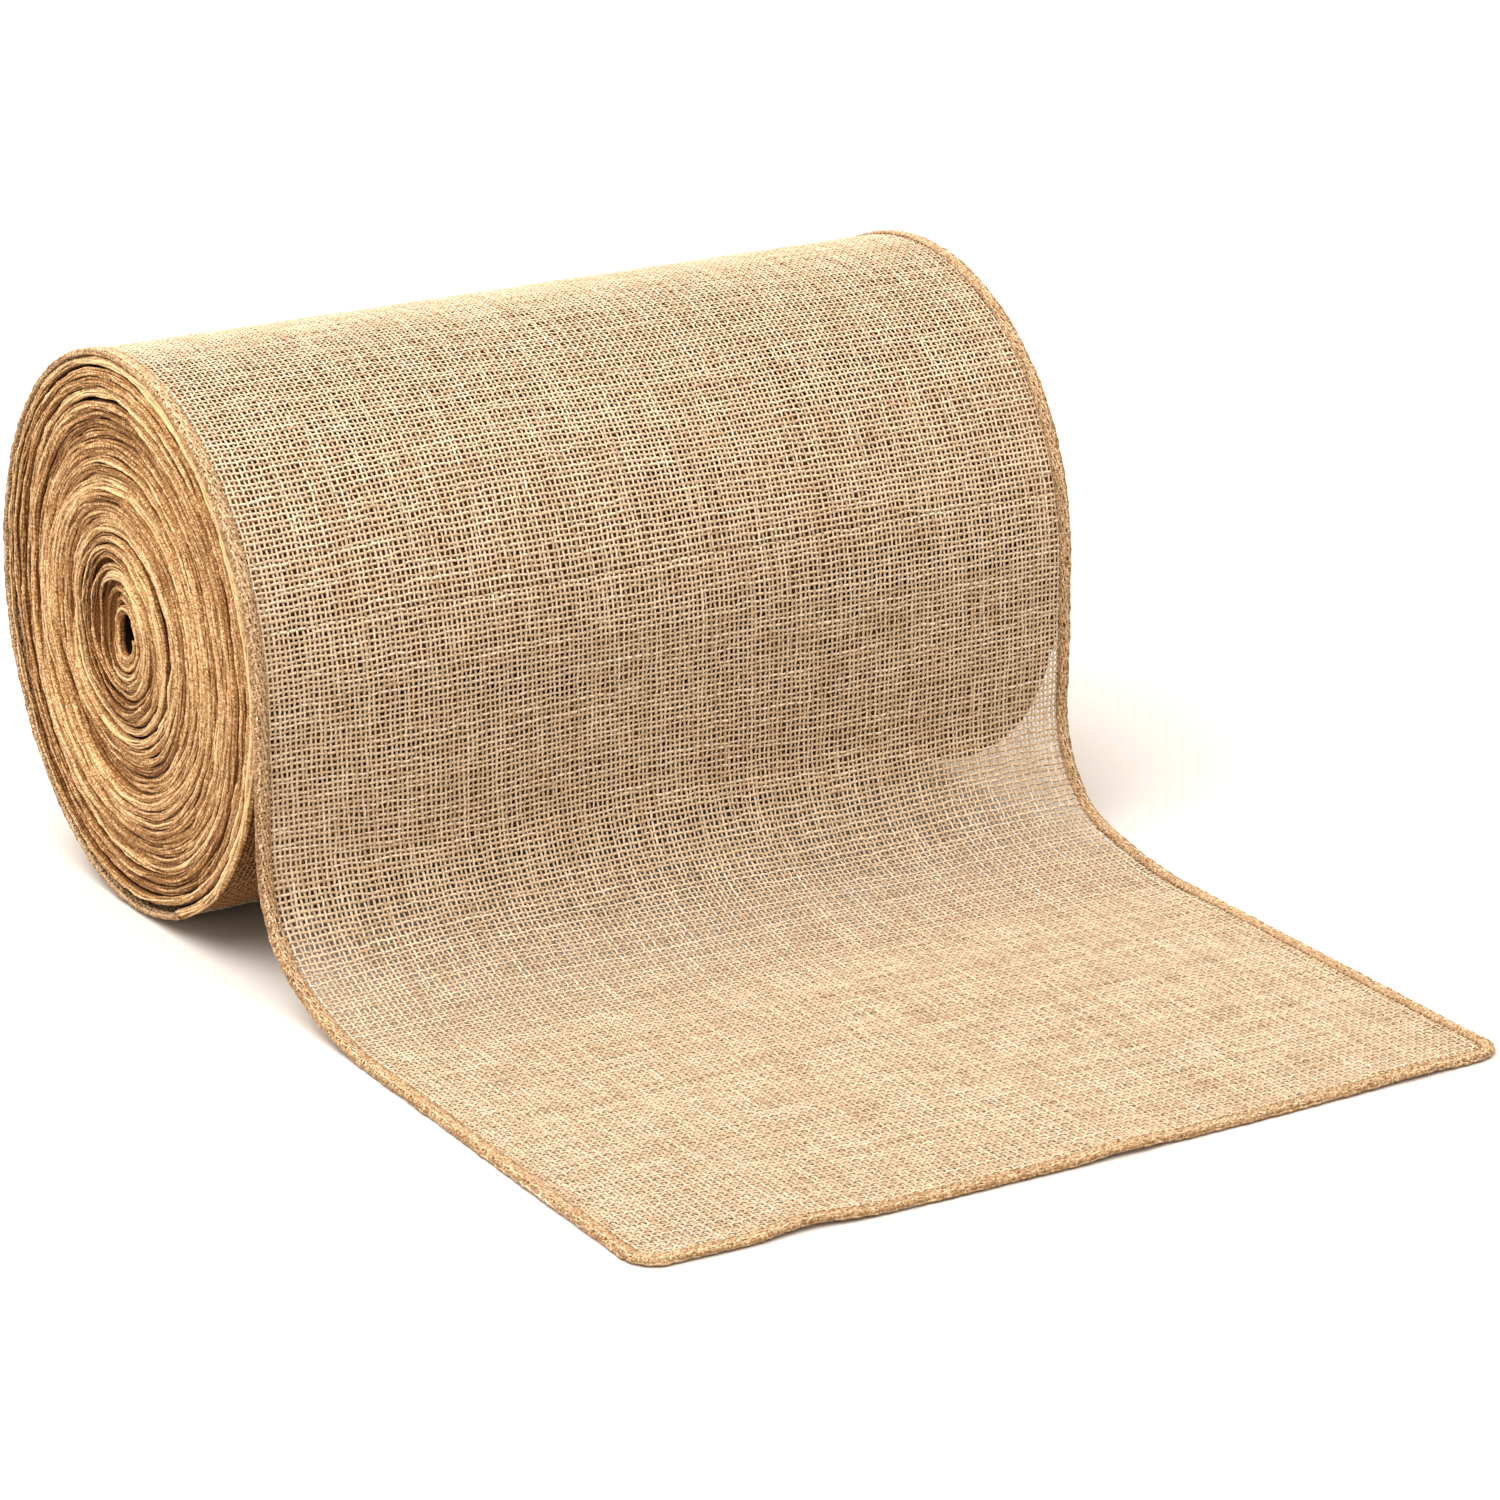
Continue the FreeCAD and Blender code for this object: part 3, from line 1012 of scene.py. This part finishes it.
cloth_jute = jute("cloth_jute", [(164, 131, 96), (207, 182, 151), (236, 220, 197)], 0.06)
# painted shade: a darker, browner copy of the cloth's jute, for the last wound stretch, which
# lies in shade behind the curtain
painted_shade_jute = jute("painted_shade_jute", [(112, 74, 40), (138, 98, 60), (164, 124, 84)], 0.06)
seam_jute = jute("seam_jute", [(120, 86, 52), (180, 145, 106), (232, 206, 170)], 0.16,
                 patchy=0.3, ply=38, grain=(1.8, 8), rough=1.0)
end_jute = jute("end_jute", [(112, 68, 28), (172, 124, 72), (230, 198, 150)], 0.08,
                patchy=0.3, ply=38, grain=(2.0, 9), rough=1.1)
print("jute", [material.name for material in (cloth_jute, painted_shade_jute, seam_jute, end_jute)])

# %% [markdown]
# ## The wound cloth's painted shade
# The sheet behind the outer turn has no real holes. Counting the threads on its own map
# gives a grid, and a ramp paints what is near a thread brown and what is between threads
# almost black: painted shade, as deep in the roll, where little light gets in. Close to
# the ends of the roll, where the sheet is seen between two beads, the wound turns' sheet
# is plain seam brown instead; the eye's sheet is painted dark there too, as painted shade.


# %% Wound cloth material
THREAD_EDGE, HOLE_EDGE = 0.24, 0.30  # from a thread's middle, in shares of the pitch


def painted_weave(name, thread, hole, border):
    """Cloth with painted threads and holes, dark as painted shade: seen only through the outer
    turn and in the eye.
    """
    material, tree, shader = new_material(name)
    link = tree.links.new
    where = add_node(tree, "ShaderNodeUVMap", uv_map="yarn")
    counted = mapped(tree, where.outputs["UV"],
                     (10 * MM / WEFT_PITCH, 10 * MM / WARP_PITCH, 1))
    split = add_node(tree, "ShaderNodeSeparateXYZ")
    link(counted, split.inputs[0])
    sides = []
    for axis in ("X", "Y"):
        wave = add_node(tree, "ShaderNodeMath", operation="PINGPONG")
        wave.inputs[1].default_value = 0.5
        link(split.outputs[axis], wave.inputs[0])
        sides.append(wave)
    near = add_node(tree, "ShaderNodeMath", operation="MINIMUM")
    link(sides[0].outputs[0], near.inputs[0])
    link(sides[1].outputs[0], near.inputs[1])
    tones = add_node(tree, "ShaderNodeValToRGB")
    link(near.outputs[0], tones.inputs["Fac"])
    stops = tones.color_ramp.elements
    stops[0].position, stops[0].color = THREAD_EDGE, (*thread, 1)
    stops[1].position, stops[1].color = HOLE_EDGE, (*hole, 1)
    place = add_node(tree, "ShaderNodeTexCoord")
    sides_of = add_node(tree, "ShaderNodeSeparateXYZ")
    link(place.outputs["Object"], sides_of.inputs[0])
    reach = add_node(tree, "ShaderNodeMath", operation="ABSOLUTE")
    link(sides_of.outputs["X"], reach.inputs[0])
    edge = add_node(tree, "ShaderNodeMapRange")
    link(reach.outputs[0], edge.inputs["Value"])
    edge.inputs["From Min"].default_value = HALF_WIDTH - 14 * MM
    edge.inputs["From Max"].default_value = HALF_WIDTH - 8 * MM
    mixed = add_node(tree, "ShaderNodeMix", data_type="RGBA")
    link(edge.outputs[0], mixed.inputs["Factor"])
    link(tones.outputs["Color"], mixed.inputs["A"])
    mixed.inputs["B"].default_value = (*border, 1)
    link(mixed.outputs["Result"], shader.inputs["Base Color"])
    bump = add_node(tree, "ShaderNodeBump", Strength=1.0, Distance=0.5 * MM)
    bump.invert = True
    link(near.outputs[0], bump.inputs["Height"])
    link(bump.outputs[0], shader.inputs["Normal"])
    make_matt(shader, 0.95, 0.1)
    return material


# painted shade: dark brown threads and almost black holes behind the outer turn; darker still in
# the eye, whose border is painted dark as well, as the bore lies in shade
HOLE_SHADE = colour(34, 18, 9)
painted_shade_weave = painted_weave("painted_shade_weave", colour(108, 72, 42), HOLE_SHADE, colour(170, 118, 66))
eye_painted_shade = painted_weave("eye_painted_shade", colour(70, 44, 24), HOLE_SHADE, colour(40, 22, 12))
for weave in weaves:
    weave.data.materials.append(cloth_jute)
# the last wound stretch gets the darker copy of the jute, as painted shade
outermost_weave.data.materials.append(painted_shade_jute)
for name, piece in seams.items():
    piece.data.materials.append(end_jute if name.startswith("wound") else seam_jute)
inner_turn_cloth.data.materials.append(eye_painted_shade)
wound_cloth.data.materials.append(painted_shade_weave)
print("painted weaves", [painted_shade_weave.name, eye_painted_shade.name])

# %% [markdown]
# ## What each piece stands for
# The pieces replace the plain solids of the design, and most ride on the body that they
# belong to. The ribbon between the roll and the apron is pulled out at one end only; its
# woven stretches and the seams along its sides stay where they are laid, on no body.

# %% Bodies and sheets
for weave in turn_weaves:
    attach(weave, "root")
for weave in front_weaves:
    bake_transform(weave)
for side in ("left", "right"):
    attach(seams["outer_turn_seam_" + side], "root")
    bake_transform(seams["front_seam_" + side])
    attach(seams["wound_seam_" + side], "roll")
    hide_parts("outer_turn_overlock_" + side)
    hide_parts("curtain_overlock_" + side, "apron_overlock_" + side)
    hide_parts("wound_overlock_" + side)
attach(seams["front_hem"], "tail")
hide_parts("front_overlock")
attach(outermost_weave, "roll")
for piece, node in ((wound_cloth, "wound_cloth"), (inner_turn_cloth, "inner_turn")):
    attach(piece, "roll")
    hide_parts(node)
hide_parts("outer_turn_cloth")
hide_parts("curtain_cloth")
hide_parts("apron_cloth")

print(len(weaves) + 3, "sheets and", len(seams), "seams handed to their bodies")

# %% [markdown]
# ## Camera
# A long lens from far off keeps the two edges of the ribbon nearly parallel, as in a
# catalogue. A nearer, wider camera would make the front end look larger than the roll.

# %% Camera
CAMERA_PLACE = (-0.8318, -1.3645, 0.6162)
CAMERA_TURN = math.radians(-31.68)
CAMERA_TILT = math.radians(19.10)


def put(name, data, place, rotation):
    """A camera or a lamp in its place."""
    thing = bpy.data.objects.new(name, data)
    thing.location = place
    thing.rotation_euler = rotation
    bpy.context.collection.objects.link(thing)
    return thing


camera_data = bpy.data.cameras.new("camera")
camera_data.lens = 127.5
camera_data.sensor_width = 36
camera_data.clip_end = 20
bpy.context.scene.camera = put("camera", camera_data, CAMERA_PLACE,
                               (math.pi / 2 - CAMERA_TILT, 0, CAMERA_TURN))
print("camera with a lens of", camera_data.lens, "mm")

# %% [markdown]
# ## Light
# Soft light shows a weave best when it comes from one side: a broad sun from above the
# front left, and a soft box above the left end of the roll, which lights its top and its
# end. A nearly white, slightly warm room fills the shadows.

# %% Light
world = bpy.data.worlds.new("white_room")
world.use_nodes = True
background = world.node_tree.nodes["Background"]
background.inputs["Color"].default_value = (1, 0.975, 0.94, 1)
background.inputs["Strength"].default_value = 0.82
bpy.context.scene.world = world
bpy.context.scene.view_settings.view_transform = "Standard"
bpy.context.scene.view_settings.exposure = 0.12
bpy.context.scene.view_settings.gamma = 0.94

SUN_PLACE = Vector((-0.42, -0.26, 1.2))
sun_data = bpy.data.lights.new("soft_sun", "SUN")
sun_data.energy = 2.4
sun_data.angle = math.radians(60)
put("soft_sun", sun_data, SUN_PLACE, (-SUN_PLACE).to_track_quat("-Z", "Y").to_euler())

box_data = bpy.data.lights.new("soft_box", "AREA")
box_data.energy = 3.3
box_data.size = 0.8
put("soft_box", box_data, (-0.28, 0.26, 0.64), (0, 0, 0))
print("lamps", [lamp.name for lamp in bpy.data.lights])

# %% [markdown]
# ## Table
# The ribbon lies on a plain pale table. It is slightly warm, so that the light that it
# throws back into the shadows of the jute is warm too.

# %% Floor
fresh()
bpy.ops.mesh.primitive_plane_add(size=12, location=(0, 0, 0))
floor = bpy.context.active_object
floor.name = "floor"
bpy.ops.object.transform_apply(location=True, rotation=True, scale=True)
floor_material, _, floor_shader = new_material("white_table")
floor_shader.inputs["Base Color"].default_value = (0.74, 0.69, 0.64, 1)
make_matt(floor_shader, 0.9, 0.1)
floor.data.materials.append(floor_material)
print("floor", round(floor.dimensions.x), "m wide")
